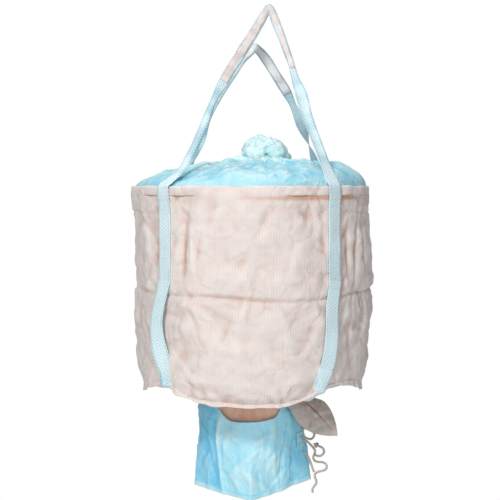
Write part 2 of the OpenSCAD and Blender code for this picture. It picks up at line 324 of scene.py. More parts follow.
WEBBING = webbing_material("pale_webbing", (0.3, 0.54, 0.62), (0.8, 0.92, 0.94))
THREAD = cord_material("pale_thread", (0.6, 0.72, 0.76), (0.8, 0.88, 0.9))
CORD = cord_material("tie_cord", (0.2, 0.16, 0.12), (0.66, 0.62, 0.56))


# ---- surfaces with relief
def waves(p, length, seed, count=12):
    """Smooth noise, about -1 to 1, with that wavelength."""
    r = np.random.default_rng(seed)
    way = r.normal(size=(count, 3))
    way *= (2 * pi / (length * r.uniform(0.7, 1.6, count)) / np.linalg.norm(way, axis=1))[:, None]
    total = sum(cos(p @ k + f) for k, f in zip(way, r.uniform(0, 2 * pi, count)))
    return total / math.sqrt(count)


def crumple(p, length, seed, count=6, squash=(1, 1, 1)):
    """Noise with flat facets and sharp folds between them, as in crumpled film; about -1 to 1."""
    r = np.random.default_rng(seed)
    q = p * array(squash) + 0.16 * length * stack([waves(p, length * 1.7, seed + i) for i in (1, 2, 3)], -1)
    total = 0.0
    for _ in range(count):
        way = r.normal(size=3)
        way /= np.linalg.norm(way) * length * r.uniform(0.6, 1.5)
        total = total + np.abs((q @ way + r.uniform()) % 1 * 2 - 1) * 2 - 1
    return total / math.sqrt(count)


def fold(s, z, at, angle, reach, width, depth, bend=0.0, step=False):
    """One ridge or step on a surface with coordinates s and z, along its angle and fading out at its reach."""
    ds, dz = s - at[0], z - at[1]
    c, n = math.cos(math.radians(angle)), math.sin(math.radians(angle))
    along, off = ds * c + dz * n, dz * c - ds * n
    off = off + bend * along**2 / reach
    fade = clip(1 - (along / reach) ** 2, 0, 1) ** 1.5
    shape = np.tanh(off / width) * exp(-np.abs(off) / (3.5 * width)) if step else exp(-np.abs(off) / width)
    return depth * fade * shape


def add_folds(f, s, z, rows, degree, bend, wide=1.0, deep=1.0, base=0.0, ridges=()):
    """f with folds added: azimuth, height above base, angle, reach, width and depth (mm); steps, but for the ridges."""
    for at, up, angle, *sizes in rows:
        reach, width, depth = np.divide(sizes, MM)
        at, step = (at * degree, base + up / MM), at not in ridges
        f = f + fold(s, z, at, angle, reach, width * wide, depth * deep, bend, step)
    return f


def blurred(field, rows, cols, closed=True):
    """The field averaged over a window of about that many rows and columns each way."""
    for axis, n, wrap in ((0, rows, False), (1, cols, closed)):
        pad = [(n, n) if k == axis else (0, 0) for k in (0, 1)]
        wide = np.pad(field, pad, mode="wrap" if wrap else "edge")
        total = np.cumsum(np.insert(wide, 0, 0, axis=axis), axis=axis)
        low = np.arange(field.shape[axis])
        field = (np.take(total, low + 2 * n + 1, axis) - np.take(total, low, axis)) / (2 * n + 1)
    return field


def relief_of(height, size, rows, cols, closed=True):
    """0 down in a crease, 0.5 on the flat and 1 on a crest; size is the height that counts as a full crease."""
    return clip(0.5 + 0.5 * (height - blurred(height, rows, cols, closed)) / size, 0, 1)


def mesh_object(name, points, faces, relief, material):
    mesh = bpy.data.meshes.new(name)
    mesh.from_pydata(place(points).tolist(), [], faces)
    mesh.attributes.new("relief", "FLOAT", "POINT").data.foreach_set("value", relief)
    mesh.materials.append(material)
    return add(name, mesh)


def grid(name, points, material, u=None, v=None, relief=None, closed=True, caps=False, flip=False):
    """A mesh from rows of points; u and v are the cloth's coordinates, and a closed grid's u has a column more."""
    rows, cols = points.shape[:2]
    i, j = np.meshgrid(np.arange(rows - 1), np.arange(cols if closed else cols - 1), indexing="ij")
    k = (j + 1) % cols
    quads = stack([i * cols + j, i * cols + k, (i + 1) * cols + k, (i + 1) * cols + j], -1).reshape(-1, 4)
    corners = [stack(pair, -1) for pair in ((i, j), (i, j + 1), (i + 1, j + 1), (i + 1, j))]
    corners = stack(corners, 2).reshape(-1, 4, 2)
    if flip:
        quads, corners = quads[:, ::-1], corners[:, ::-1]
    faces = quads.tolist()
    if caps:
        ends = [list(range(cols))[::-1], list(range((rows - 1) * cols, rows * cols))]
        faces += [e[::-1] for e in ends] if flip else ends
    shade = np.full(rows * cols, 0.5) if relief is None else relief.astype(np.float32).ravel()
    made = mesh_object(name, points.reshape(-1, 3), faces, shade, material)
    if u is not None:
        columns = cols + 1 if closed else cols
        u = np.broadcast_to(u, (rows, columns))
        v = np.broadcast_to(np.reshape(v, (rows, -1)), (rows, columns))
        at = corners.reshape(-1, 2)
        flat = np.zeros((len(made.data.loops), 2), np.float32)
        flat[: len(at)] = stack([u[at[:, 0], at[:, 1]], v[at[:, 0], at[:, 1]]], -1)
        made.data.uv_layers.new(name="UVMap").uv.foreach_set("vector", flat.ravel())
    made.data.shade_smooth()
    made.data.update()
    return made


def thicken(piece, by, offset=-1.0):
    """Gives a sheet its two faces and its edges."""
    made = piece.modifiers.new("thickness", "SOLIDIFY")
    made.thickness, made.offset, made.use_even_offset = by, offset, False
    bpy.context.view_layer.update()
    mesh = bpy.data.meshes.new_from_object(piece.evaluated_get(bpy.context.evaluated_depsgraph_get()))
    mesh.name = piece.name
    piece.modifiers.clear()
    piece.data = mesh


def belongs(piece, body, slot, *nodes):
    """Says which body a piece rides, unless it blends between two, and the CAD nodes it replaces; its slot is not used.
    """
    if body:
        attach(piece, body)
    if nodes:
        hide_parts(*nodes)
    return piece


def circle(count, start=0, ends=False):
    """count angles round a turn, and the first again at its end if ends."""
    return linspace(start, start + 2 * pi, count + ends, endpoint=ends)


def xyz(x, y, z):
    return stack(np.broadcast_arrays(x, y, z), -1)


def around(a, r, z):
    """Points at azimuth a (radians), radius r and height z."""
    return xyz(r * sin(a), -r * cos(a), z)


def smooth(x, low, high):
    f = clip((x - low) / (high - low), 0, 1)
    return f * f * (3 - 2 * f)


def unit(v):
    return v / np.maximum(np.linalg.norm(v, axis=-1, keepdims=True), 1e-9)


def run_of(line):
    """How far along a line each of its points is."""
    return concatenate([[0], np.cumsum(np.linalg.norm(np.diff(line, axis=0), axis=1))])


def spline(keys, count):
    """count points along a smooth curve through the keys, which may carry more than three numbers each."""
    keys = np.asarray(keys, float)
    at = run_of(keys[:, :3])
    slope = np.gradient(keys, at, axis=0)
    t = linspace(0, at[-1], count)
    i = clip(np.searchsorted(at, t, side="right") - 1, 0, len(at) - 2)
    h = (at[i + 1] - at[i])[:, None]
    f = ((t - at[i]) / h[:, 0])[:, None]
    return ((2 * f**3 - 3 * f**2 + 1) * keys[i] + (f**3 - 2 * f**2 + f) * h * slope[i]
            + (3 * f**2 - 2 * f**3) * keys[i + 1] + (f**3 - f**2) * h * slope[i + 1])


def tube(line, side, up, radius, sides):
    """Rows of points round a line; the radius may change along it and round it."""
    turn = circle(sides)[None, :, None]
    return line[:, None] + np.asarray(radius)[..., None] * (side[:, None] * cos(turn) + up[:, None] * sin(turn))


def strap(name, line, sizes, material, relief, ripple, seed, cols=13):
    """A flat band with rounded edges; line holds points and across directions, sizes the widths, thicknesses, curls."""
    line, across, (width, thick, curl) = line[:, :3], line[:, 3:6], sizes
    ahead = unit(np.gradient(line, axis=0))
    across = unit(across - (across * ahead).sum(1)[:, None] * ahead)
    out = cross(ahead, across)
    x = linspace(-1, 1, cols)
    top = stack([x, np.sqrt(1 - 0.75 * np.abs(x) ** 8)], -1)
    ring, edge = concatenate([top, (top * [1, -1])[::-1]]).T
    lift = curl[:, None] * (ring**2)[None] + ripple * waves(line, 0.12, seed)[:, None] * sin(2.2 * ring)[None]
    points = (line[:, None] + across[:, None] * (ring[None, :, None] * width[:, None, None] / 2)
              + out[:, None] * (edge[None, :, None] * thick[:, None, None] / 2 + lift[:, :, None]))
    shade = clip(relief[:, None] - 0.35 * exp(-((np.abs(ring) - 0.82) / 0.06) ** 2)[None], 0, 1)
    across_cloth = np.append(ring, ring[0])[None] * width[:, None] / 2
    return grid(name, points, material, across_cloth, run_of(line), shade, caps=True)


# ---- the cords' routes (mm), as in the part's source
CORD_D = 0.009
CORD_SIDES, CORD_LAY = 18, 0.03
TAB_ANGLE = math.radians(-20)
TAB_AT = array([(SPOUT_R - 0.0015) * math.cos(TAB_ANGLE), (SPOUT_R - 0.0015) * math.sin(TAB_ANGLE), TAB_Z])
LONG_ROUTE = [
    (8, -2, 0), (19, -6, -2), (33, -10, -10), (47, -13, -24), (60, -15, -38), (68, -15, -52), (65, -13, -68),
    (60, -11, -84), (66, -10, -100), (83, -11, -106), (101, -13, -107), (117, -15, -114), (124, -16, -128),
    (116, -16, -142), (97, -15, -149), (78, -14, -155), (67, -13, -166), (69, -12, -182), (75, -11, -198),
    (73, -10, -212), (64, -9, -224), (57, -9, -238), (58, -9, -254),
]
SHORT_ROUTE = [
    (68, -25, -68), (83, -26, -74), (99, -26, -70), (109, -26, -56), (106, -26, -40), (93, -26, -30), (83, -26, -26),
]
LOOP_ROUTE = [
    (5, 0, 52), (19, -4, 53), (37, -8, 50), (54, -10, 42), (64, -10, 29), (61, -10, 14), (49, -9, 3),
    (33, -12, 6), (19, -19, 14), (5, -15, 16),
]
TAIL_ROUTE = [
    (9, 2, -60), (21, 2, -66), (33, 1, -80), (42, 0, -98), (50, -1, -118), (57, -2, -138), (64, -3, -156),
]


def rope(name, route, node, with_pieces=()):
    """A cord of three twisted strands along a route, its points spaced along its real length."""
    keys = array(route) / MM + TAB_AT
    length = np.linalg.norm(np.diff(spline(keys, 400), axis=0), axis=1).sum()
    line = spline(keys, int(length / 0.0022))
    ahead = unit(np.gradient(line, axis=0))
    side = unit(cross(ahead, [0, 1, 0]))
    run = run_of(line)
    strand = np.abs(cos(1.5 * (circle(CORD_SIDES)[None] - run[:, None] * 2 * pi / CORD_LAY)))
    points = tube(line, side, cross(side, ahead), CORD_D / 2 * (0.98 + 0.3 * strand**0.7), CORD_SIDES)
    made = grid(name, points, CORD, linspace(0, CORD_D * pi, CORD_SIDES + 1)[None], run, strand, caps=True, flip=True)
    belongs(made, "spout", "tie_cord", node)


def knot():
    """The short tie's overhand knot, a tight trefoil."""
    t = circle(220)
    line = 0.0034 * xyz(sin(t) + 2 * sin(2 * t), -1.1 * sin(3 * t), cos(t) - 2 * cos(2 * t))
    line += sum(cad("tie_knot")) / 2 - ORIGIN
    ahead = unit(np.roll(line, -1, 0) - np.roll(line, 1, 0))
    side = unit(cross(ahead, [0.1, 1, 0.2]))
    points = tube(line, side, cross(side, ahead), 0.004, 12)
    made = grid("short_tie_knot", concatenate([points, points[:1]]), CORD, flip=True)
    return belongs(made, "spout", "tie_cord", "tie_knot")


rope("long_tie", LONG_ROUTE, "spout_tie_long")
rope("short_tie", SHORT_ROUTE, "spout_tie_short", [knot()])
rope("looped_tie", LOOP_ROUTE, "spout_tie_loop")
rope("tail_tie", TAIL_ROUTE, "spout_tie_tail")


# ---- the woven body
BELTS = radians([-42.5, 40.5, 135, -135])
# The body's bottom edge by azimuth (degrees), for a body of EDGE_HEIGHT
EDGE_HEIGHT = 0.9415
EDGE_AT = [-180, -145, -135, -120, -95, -82, -68, -55, -43, -34, -28, -10,
           0, 15, 28, 38, 47, 62, 76, 88, 120, 135, 145, 180]
EDGE_Z = array([-922, -910, -885, -915, -925, -925, -908, -885, -862, -900, -920, -938,
                   -942, -938, -912, -866, -868, -888, -914, -925, -915, -885, -910, -922]) / MM
# The body's radius at these heights, at its left, front and right
PROFILE_Z = array([-1000, -935, -900, -840, -700, -560, -494, -481, -475, -468,
                      -455, -420, -300, -160, -122, -115, -106, -70, -20, 0]) / MM
PROFILE = array([
    [476, 488, 514, 538, 541, 541, 542, 540, 533, 534, 538, 540, 542, 545, 547, 539, 550, 560, 566, 558],
    [478, 500, 530, 549, 552, 553, 553, 549, 540, 547, 554, 555, 553, 551, 551, 550, 551, 552, 552, 550],
    [480, 500, 528, 550, 556, 562, 562, 558, 549, 556, 568, 571, 562, 554, 552, 545, 550, 554, 555, 550],
]) / MM
# Upright creases, then the wall's other main folds
UPRIGHT = [
    (-31, -270, 86, 200, 10, -14), (-27, -270, 95, 170, 8, 9), (-24, -270, 80, 120, 10, -8),
    (51, -270, 92, 180, 12, -13), (58, -270, 84, 220, 14, -16), (65, -270, 96, 190, 11, -12),
]
WALL_FOLDS = [
    (-12, -160, 62, 160, 12, -8), (8, -200, -58, 170, 12, -10), (19, -300, 70, 150, 10, -8),
    (-4, -360, -35, 180, 14, -7), (26, -400, 40, 130, 10, -10), (-16, -580, -52, 140, 14, -11),
    (2, -620, 66, 160, 14, -9), (16, -560, -70, 120, 10, -11), (27, -660, 58, 170, 12, -11),
    (-26, -720, 38, 150, 13, -10), (-8, -800, -24, 200, 12, -6), (18, -820, 20, 190, 12, -8),
    (34, -140, 50, 100, 10, -11), (-36, -600, 75, 140, 12, -12), (33, -540, -60, 110, 10, -12),
    (-60, -300, 78, 170, 12, -10), (-70, -600, -66, 200, 15, -12), (-56, -700, 82, 160, 12, -10),
    (70, -620, 80, 200, 14, -12), (80, -300, -82, 200, 14, -11), (52, -700, -72, 150, 12, -12),
]


def edge_z(a):
    """Height of the body's bottom edge, which its belts lift."""
    return interp(degrees(a), EDGE_AT, EDGE_Z) * HEIGHT / EDGE_HEIGHT


def body_profile(a, z):
    """Radius of the body before its small folds."""
    wave = 0.01 * sin(2 * a + 0.6) + 0.005 * sin(5 * a)
    z = z + wave * smooth(-z, 0.2, 0.4) * smooth(z, -0.8, -0.6)
    left, front, right = [interp(z, PROFILE_Z, radii) for radii in PROFILE]
    to_left, to_right = clip(-sin(a), 0, 1) ** 4, clip(sin(a), 0, 1) ** 4
    return left * to_left + front * (1 - to_left - to_right) + right * to_right


def from_belts(a):
    """1 on the open wall and 0 along the belts."""
    gap = np.abs((a[..., None] - BELTS + pi) % (2 * pi) - pi)
    return 1 - exp(-((gap / radians(4.6)) ** 4)).max(-1)


def body_folds(a, z):
    """The body's folds and wrinkles, outwards."""
    s = a * RADIUS
    p = around(a, RADIUS, z)
    f = 0.003 * waves(p, 0.3, 3) + 0.0014 * waves(p * [1, 1, 1.8], 0.16, 4)
    f = f + 0.0065 * crumple(p, 0.26, 5, 6, (1, 1, 0.6)) + 0.0036 * crumple(p, 0.15, 9, 6, (1, 1, 1.4))
    f = f + 0.0013 * crumple(p, 0.055, 6)
    degree = RADIUS * pi / 180
    f = add_folds(f, s, z, UPRIGHT, degree, 0.05, ridges=[row[0] for row in UPRIGHT])
    f = add_folds(f, s, z, WALL_FOLDS, degree, 0.12, 1.5, 0.6)
    r = np.random.default_rng(17)
    for _ in range(170):
        at = (r.uniform(-pi, pi) * RADIUS, r.uniform(-0.88, -0.08))
        tilt, reach = r.choice([-1, 1]) * r.uniform(8, 88), r.uniform(0.05, 0.17)
        width, depth = r.uniform(0.006, 0.014), -r.uniform(0.002, 0.0055)
        f = f + fold(s, z, at, tilt, reach, width, depth, r.uniform(-0.3, 0.3), True)
    # Puckers at the belts, and gathers along the bottom seam
    for belt in BELTS:
        for _ in range(14):
            side = r.choice([-1, 1])
            at = (belt * RADIUS + side * r.uniform(0.045, 0.075), r.uniform(-0.45, -0.03))
            f = f + fold(s, z, at, side * r.uniform(20, 60), r.uniform(0.03, 0.07), 0.007, -r.uniform(0.003, 0.007))
    gather = np.abs(sin(s * 22 + 2.0 * waves(p, 0.2, 8))) - 0.5
    f = f + 0.01 * gather * smooth(-z, 0.8, 0.93)
    return f * (1 - (1 - from_belts(a)) * np.where(z > -0.43, 0.97, 0.55))


CLOTH = 0.0012
BODY_COLS, BODY_ROWS = 372, 132
azimuth = circle(BODY_COLS, -pi)
level = around(azimuth, RADIUS, 0 * azimuth)
wall_a = np.broadcast_to(azimuth, (BODY_ROWS, BODY_COLS))
wall_z = linspace(0, 1, BODY_ROWS)[:, None] * edge_z(azimuth)[None]
folds = body_folds(wall_a, wall_z)
wall_radius = body_profile(wall_a, wall_z) + folds
# The wall's relief, from its folds and profile, paints shade in its creases and light on its crests.
shape = folds + 0.5 * (body_profile(wall_a, wall_z) - RADIUS)
wall_relief = 0.7 * relief_of(shape, 0.009, 3, 4) + 0.3 * relief_of(shape, 0.024, 9, 11)
# Painted shadow: a dark band just under the rim roll on the front and right, and painted shade darker towards the
# bottom edge.
painted_rim_shadow = smooth(degrees(wall_a), -25, 30) * smooth(-degrees(wall_a), -75, -50)
painted_rim_shadow = painted_rim_shadow * exp(-(((wall_z + 0.047) / 0.012) ** 2))
wall_relief = wall_relief * (1 - 0.9 * painted_rim_shadow - 0.35 * smooth(-wall_z, 0.88, 0.94))
wall = grid("body_wall", around(wall_a, wall_radius, wall_z), WOVEN, circle(BODY_COLS, -pi, True)[None] * RADIUS,
            np.pad(wall_z, ((0, 0), (0, 1)), mode="wrap"), wall_relief)
thicken(wall, CLOTH)
belongs(wall, "bag", "woven_body", "body_tube")


def ring_sheet(name, rows, material, body, slot, node, thick, relief, size=None, flip=False):
    """A closed band of cloth from rows of points round the bag; relief may be one number for each row."""
    rows = np.asarray(rows)
    cols = rows.shape[1]
    if size is None:
        size = np.linalg.norm(np.diff(np.append(rows[0], rows[0][:1], 0), axis=0), axis=1).sum()
    v = concatenate([[0], np.cumsum(np.linalg.norm(np.diff(rows, axis=0), axis=-1).mean(1))])
    relief = np.asarray(relief)
    if relief.ndim == 1:
        relief = np.repeat(relief[:, None], cols, 1)
    made = grid(name, rows, material, linspace(0, size, cols + 1)[None], v, relief, flip=flip)
    if thick:
        thicken(made, thick)
    return belongs(made, body, slot, node)


# The rim: a rolled hem over the wall's top edge, its stitched lower edge a little proud
rim_r = body_profile(azimuth, azimuth * 0)
soft = 0.0025 * waves(level, 0.12, 21)
gate = 0.35 + 0.65 * from_belts(azimuth)
hem_rows = [
    around(azimuth, rim_r + (out + soft * (z > -0.045) * (out > 0)) * gate, z + 0.6 * soft * gate)
    for z, out in array([(-50, -7), (-20, -7), (2, -5), (4.5, -1), (3, 2), (-8, 3.8), (-24, 3.6), (-34, 4),
                            (-38, 3), (-39, 0.2)]) / MM
]
# Painted light and shade: the roll's rows run from light along its top to dark under its lower edge.
ring_sheet("rim_roll", hem_rows, WOVEN, "bag", "woven_body", "rim_hem", 0,
           [0.3, 0.5, 0.8, 0.9, 0.8, 0.6, 0.5, 0.35, 0.05, 0.0])

# The base: cloth from the bottom edge in to the collar, sagging round the outlet
base_f = linspace(0, 1, 34)[:, None]
edge_r = wall_radius[-1]
base_r = (edge_r - 0.0015) * (1 - base_f) + COLLAR_R * base_f
base_z = edge_z(azimuth) * (1 - base_f) ** 1.3 + (-HEIGHT - 0.013) * (1 - (1 - base_f) ** 1.3)
base_p = around(np.broadcast_to(azimuth, base_r.shape), base_r, base_z)
base_h = 0.006 * crumple(base_p, 0.16, 31) * sin(pi * clip(base_f * 1.02, 0, 1)) ** 0.7
base = ring_sheet("base_cloth", base_p + xyz(0, 0, base_h), WOVEN, "bag", "woven_body",
                  "base_panel", CLOTH, relief_of(base_h, 0.008, 2, 4))

# The base seam: its allowance stands out below the edge, with a folded ear at each side
ear = exp(-((degrees(azimuth) + 80) / 19) ** 4) + exp(-((degrees(azimuth) - 78) / 17) ** 4)
flare = (0.014 + 0.004 * waves(level, 0.09, 33)) * (0.3 + 0.7 * from_belts(azimuth)) + 0.018 * ear
seam_rows = [
    around(azimuth, edge_r + 0.002 + flare * (0.28 * f + 0.25 * max(0, f) ** 2) * (1 - 0.6 * ear)
           + 0.004 * (1 - abs(f)), edge_z(azimuth) - flare * f * 0.95 + 0.004)
    for f in linspace(-0.5, 1, 8)
]
# Painted light and shade: the seam's rows are darker against the wall and at its outer edge, lighter between.
ring_sheet("base_seam_allowance", seam_rows, WOVEN, "bag", "woven_body", "base_seam", 0.0022,
           [0.2, 0.5, 0.7, 0.35, 0.5, 0.6, 0.5, 0.3])

# ---- the gathered skirt
DOME_H = cad("duffle_skirt")[1][2] - ORIGIN[2]
NECK_R = 0.062
SKIRT_COLS, SKIRT_ROWS = 420, 96
rim_inside = float(rim_r.min()) - 0.006


def dome(x, y):
    """Height of the skirt over a point, fuller on the right."""
    f = clip((np.hypot(x, y) - 0.13) / (rim_inside - 0.13), 0, 1)
    power = 1.5 + 4.6 / (1 + exp(-9 * (x - 0.12)))
    return DOME_H * (1 - f**power) ** 0.6


# From the neck straight out to the rim, along each bearing from the knot, and then down inside the wall
bearing = circle(SKIRT_COLS)
east, north = sin(bearing), cos(bearing)
reach = -KNOT_X * east + np.sqrt(np.maximum(rim_inside**2 - (KNOT_X * north) ** 2, 0))
rows, heights = [], []
steps = concatenate([linspace(0, 1, SKIRT_ROWS) ** 1.25, [1, 1, 1]])
drops = concatenate([np.zeros(SKIRT_ROWS), [0.012, 0.028, 0.045]])
for f, drop in zip(steps, drops):
    d = NECK_R + (reach - NECK_R) * f
    x, y = KNOT_X + d * east, -d * north
    z = dome(x, y) - drop + 0.046 * exp(-(d - NECK_R) / 0.068) * (1 + 0.45 * sin(bearing + 3.3))
    q, fine = (xyz(0.3 * east, 0.3 * north, size * d) for size in (0.22, 0.1))
    p = xyz(x, y, 0 * x)
    h = 0.02 * crumple(q, 0.1, 41) * exp(-d / 0.4) + 0.009 * crumple(fine, 0.035, 42, 5) * exp(-d / 0.25)
    h = h + 0.008 * crumple(p, 0.16, 43) + 0.002 * crumple(p, 0.045, 44) + 0.003 * waves(p, 0.2, 45)
    h = h * (0.15 + 0.85 * smooth(1 - f, 0, 0.1)) * smooth(d, NECK_R - 0.001, NECK_R + 0.03)
    rows.append(xyz(x, y, z + h))
    heights.append(h)
# Painted highlight: the skirt is paler towards the neck.
painted_neck_highlight = 0.55 * exp(-((steps / 0.16) ** 2))
skirt = ring_sheet("skirt_dome", rows, SKIRT, "bag", "blue_fabric", "duffle_skirt", 0.001,
                   clip(relief_of(stack(heights), 0.011, 4, 4) + painted_neck_highlight[:, None], 0, 1), 2 * pi * rim_inside, True)

# The knot: lobes of bunched cloth (centre and half sizes), with pleats running into the tie
BUN_AT = array([KNOT_X - 0.008, 0, 0.169])
LOBE_SCALE = 0.93
LOBES = [
    (0, 0, 12, 98, 92, 60), (-45, -40, -16, 62, 60, 44), (48, -36, -4, 56, 58, 48), (-20, -20, 40, 52, 56, 30),
    (30, 20, 36, 44, 40, 34), (-58, 30, 6, 52, 60, 46), (50, 46, -6, 58, 52, 44), (0, -58, 10, 46, 40, 36),
    (-82, -12, -22, 36, 46, 30), (86, -12, -26, 30, 40, 28), (-78, -44, -50, 50, 44, 26), (52, -62, -50, 50, 36, 26),
    (-4, -74, -52, 50, 34, 24), (46, 0, 58, 14, 12, 20), (0, 70, -50, 70, 40, 24), (-104, -30, -52, 54, 50, 26),
    (88, -30, -56, 44, 45, 24),
]
BUN_ROWS, BUN_COLS = 120, 200
theta = linspace(0.004, 2.42, BUN_ROWS)[:, None]
phi = circle(BUN_COLS)
ray = around(phi, sin(theta), cos(theta))
far = np.zeros((BUN_ROWS, BUN_COLS))
for lobe in LOBES:
    c, size = np.reshape(lobe, (2, 3)) / MM * LOBE_SCALE
    a, b, k = ((ray / size) ** 2).sum(-1), (ray * c / size**2).sum(-1), ((c / size) ** 2).sum() - 1
    hit = b * b - a * k
    far = np.maximum(far, np.where(hit > 0, (b + np.sqrt(np.maximum(hit, 0))) / a, 0))
far = 0.6 * far + 0.4 * blurred(far, 2, 3)
q = ray * 0.1
bend = 0.012 * crumple(q, 0.11, 51, 5) + 0.0055 * crumple(q, 0.05, 52, 5) + 0.0008 * crumple(q, 0.018, 53, 5)
neck_blend = smooth(theta, 2.12, 2.42)
pleat = np.abs(sin(9 * phi + 1.3 * sin(2 * phi) + 0.8 * cos(3 * phi)))
far = far + bend * (1 - neck_blend * 0.8)
far = far * (1 - neck_blend) + (NECK_R + 0.024) * neck_blend + 0.009 * (pleat - 0.5) * neck_blend
far[:4] = far[:4].mean()
bun_points = BUN_AT + ray * far[..., None]
last = bun_points[-1]
neck_ring = xyz(KNOT_X + NECK_R * sin(phi), -NECK_R * cos(phi), last[:, 2])
neck_rows = []
for f in linspace(0.1, 1, 9):
    ring = last * (1 - smooth(f, 0, 0.6)) + smooth(f, 0, 0.6) * neck_ring + around(phi, 0.006 * (pleat - 0.5), 0)
    ring[:, 2] = last[:, 2] * (1 - f) + (DOME_H + 0.004) * f
    neck_rows.append(ring)
bun_points = concatenate([bun_points, neck_rows])
bun_relief = relief_of(far, 0.012, 5, 6)
# Painted shade: the neck rows under the knot are darker.
bun_relief = concatenate([bun_relief, np.repeat(bun_relief[-1:] * 0.7, len(neck_rows), 0)])
bun = grid("skirt_knot", bun_points, BUNDLE, linspace(0, 0.6, BUN_COLS + 1)[None],
           linspace(0, 0.3, len(bun_points)), bun_relief, flip=True)
belongs(bun, "bag", "blue_fabric", "skirt_bundle")

# The cord round its neck, in two turns
turns = linspace(0, 4 * pi, 260)
tie_line = xyz(KNOT_X + (NECK_R + 0.0075) * sin(turns), -(NECK_R + 0.0075) * cos(turns),
               DOME_H + 0.03 + 0.0045 * turns / (2 * pi))
tie_side = unit(tie_line - [KNOT_X, 0, 0] - np.outer(tie_line[:, 2], [0, 0, 1]))
tie_up = cross(unit(np.gradient(tie_line, axis=0)), tie_side)
tie_strand = np.abs(cos(1.5 * (circle(14)[None] - turns[:, None] * 6)))
tie = grid("neck_cord", tube(tie_line, tie_side, tie_up, 0.0036 * (0.82 + 0.2 * tie_strand), 14), CORD,
           relief=tie_strand, caps=True)
belongs(tie, "bag", "tie_cord", "neck_tie")


# ---- webbing: the loops with their tails, and the belts
def key(at, across, width=70, thick=3.5, curl=0):
    """A point of a strap's line with its across direction (metres) and its sizes (mm)."""
    return (*at, *across, width / MM, thick / MM, curl / MM)


def outside(a, z):
    """Radius that clears the wall and rim under a belt there."""
    turn = (a + radians(linspace(-3.4, 3.4, 9)) + pi) / (2 * pi)
    cols = np.round(turn * BODY_COLS).astype(int) % BODY_COLS
    radii = [interp(z + d, wall_z[::-1, c], wall_radius[::-1, c]) for c in cols for d in (-0.008, 0, 0.008)]
    return float(max(radii) + 0.0035 + 0.0065 * smooth(z, -0.06, -0.042) * 0.7)


def tail(a, up, levels):
    """Keys on the wall; up is 1 where the webbing runs upwards and -1 where it runs down."""
    return [key(around(a, outside(a, z), z), (up * math.cos(a), up * math.sin(a), 0)) for z in levels]


def leg(points, side, a):
    """Keys along a leg: x, y, z (mm), turned from flat on the wall (0) to facing the front (1), and sizes (mm)."""
    flat = array([side * math.cos(a), side * math.sin(a), 0])
    facing = array([0.86, 0.1, -0.5]) if side > 0 else array([-0.92, 0.1, -0.36])
    return [key(np.divide((x, y, z), MM), flat * (1 - turned) + facing * turned, *sizes)
            for x, y, z, turned, *sizes in points]


def webbing_loop(end, left, right, left_leg, crown, right_leg, before, after, painted_lightness):
    """One loop from tail to tail, and the sleeve from before its crown to after it."""
    levels = array([-424, -400, -350, -300, -250, -200, -150, -100, -65, -42, -25, 2]) / MM
    keys = [*tail(left, 1, levels), *leg(left_leg, 1, left), *crown, *leg(right_leg, -1, right),
            *tail(right, -1, levels[::-1])]
    line = spline(keys, 620)
    relief = 0.68 + 0.2 * waves(line[:, :3], 0.1, 66) - 0.24 * smooth(line[:, 2], 0.0, 0.2)
    ribbon = strap(end + "_web", line, line[:, 6:].T, WEBBING, relief, 0.0012, 61)
    belongs(ribbon, None, "webbing", end + "_loop_web", f"loop_tail_{end}_left", f"loop_tail_{end}_right")
    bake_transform(ribbon)
    run = run_of(line[:, :3])
    top = run[np.argmax(line[:, 2])]
    part = (run > top - before) & (run < top + after)
    cover, run = line[part], run[part]
    size = clip(np.minimum(run - run[0], run[-1] - run) / 0.012, 0, 1)
    width = cover[:, 6] - 0.008 + 0.002 * waves(cover[:, :3], 0.09, 62) + 0.004 * (1 - size)
    # Painted light: the sleeve's lightness is set for each loop, the rear one lighter to make up for the little light
    # it catches; it is darker towards its ends.
    relief = clip(painted_lightness + 0.14 * waves(cover[:, :3], 0.05, 64), 0, 1) * (0.5 + 0.5 * size)
    sleeve = strap(end + "_sleeve", cover, (width, cover[:, 7] + 0.005, cover[:, 8]), SLEEVE, relief, 0.0016, 63)
    belongs(sleeve, end + "_loop", "sleeve_fabric", end + "_loop_sleeve")


webbing_loop(
    "front", BELTS[0], BELTS[1],
    [(-352, -408, 28, 0.05, 60), (-314, -378, 68, 0.15, 48, 5, 6), (-270, -330, 145, 0.35, 40, 7, 10),
     (-212, -250, 277, 0.55, 37, 9, 10), (-163, -178, 403, 0.85, 30, 15), (-128, -150, 473, 1, 46, 11),
     (-60, -115, 590, 1, 48, 10, 2), (15, -75, 715, 1, 47, 10), (50, -58, 776, 1, 44, 11)],
    [key((0.074, FRONT_CROWN[1], 0.818), (0.6, 0.05, -0.8), 36, 13),
     key((FRONT_CROWN[0] - 0.001, FRONT_CROWN[1], 0.832), (0, 0.05, -1), 30, 14),
     key((0.094, FRONT_CROWN[1], 0.818), (-0.6, 0.05, -0.8), 34, 13)],
    [(112, -57, 772, 1, 40, 11), (136, -72, 710, 1, 37, 11), (165, -88, 625, 1, 33, 12, 2),
     (191, -102, 548, 0.98, 30, 13), (199, -116, 512, 0.9, 32, 14), (229, -180, 407, 0.62, 56, 6, -10),
     (246, -222, 323, 0.5, 52, 5, -10), (273, -270, 240, 0.35, 48, 5.5, -10), (300, -318, 163, 0.22, 50, 5, -6),
     (328, -372, 90, 0.1, 57, 4), (352, -408, 30, 0.03)],
    0.425, 0.322, 0.52)
